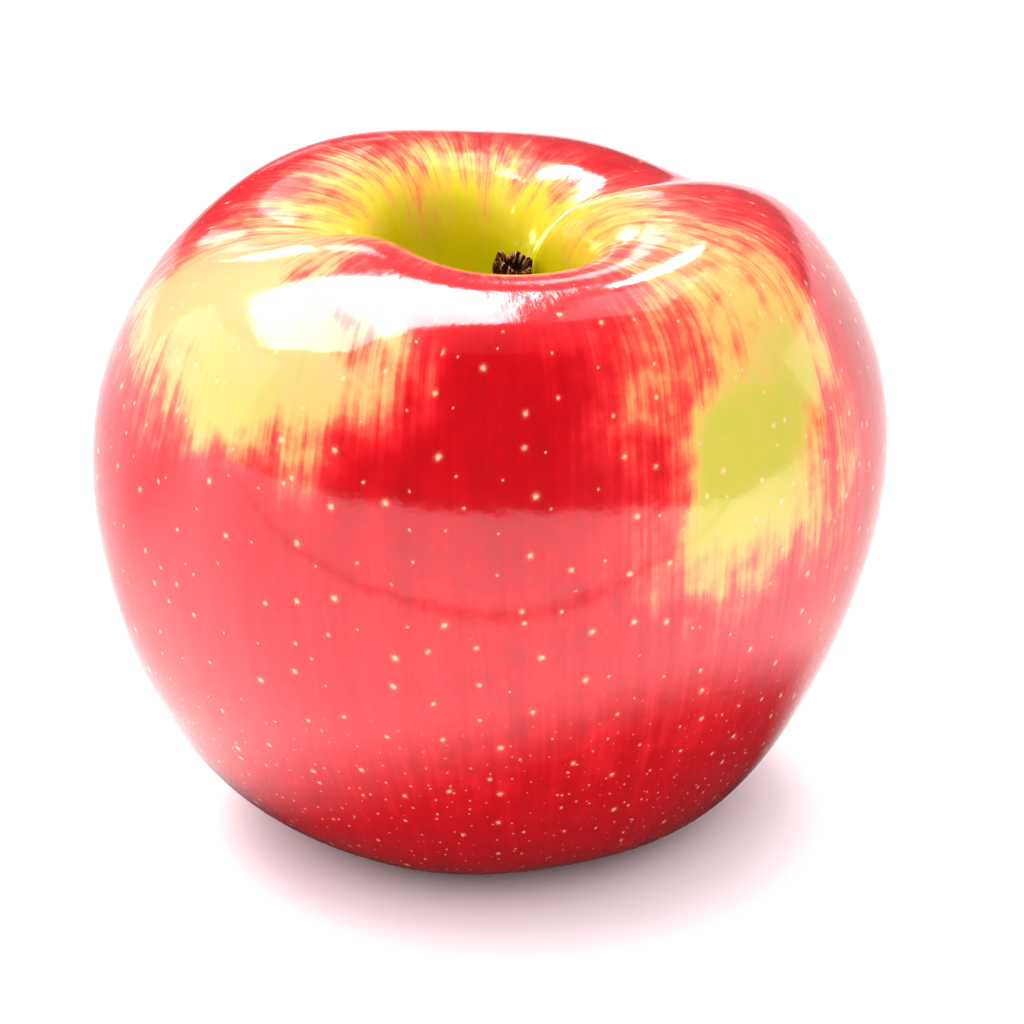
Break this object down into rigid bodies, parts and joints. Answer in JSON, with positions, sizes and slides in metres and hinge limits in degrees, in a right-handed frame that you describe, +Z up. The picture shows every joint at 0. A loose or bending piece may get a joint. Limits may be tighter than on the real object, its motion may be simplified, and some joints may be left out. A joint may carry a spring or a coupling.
{
  "type": "apple",
  "caption": "Whole eating apple with a short woody stem in a deep lobed cavity and a dried calyx in the basin underneath.",
  "frame": {"origin": "middle of the fruit's box, on the plane it stands on", "axes": "+Z up along the core, -Y towards the side with the reddest cheek, +X to the right of that side"},
  "size_m": [0.0848, 0.0832, 0.0722],
  "materials": {
    "skin": "gloss",
    "bark": "matte",
    "calyx": "matte"
  },
  "bodies": {
    "root": {"fruit": "skin", "stem": "bark", "sepal_1": "calyx", "sepal_2": "calyx", "sepal_3": "calyx", "sepal_4": "calyx", "sepal_5": "calyx", "stamen_tuft": "calyx"}
  },
  "joints": []
}
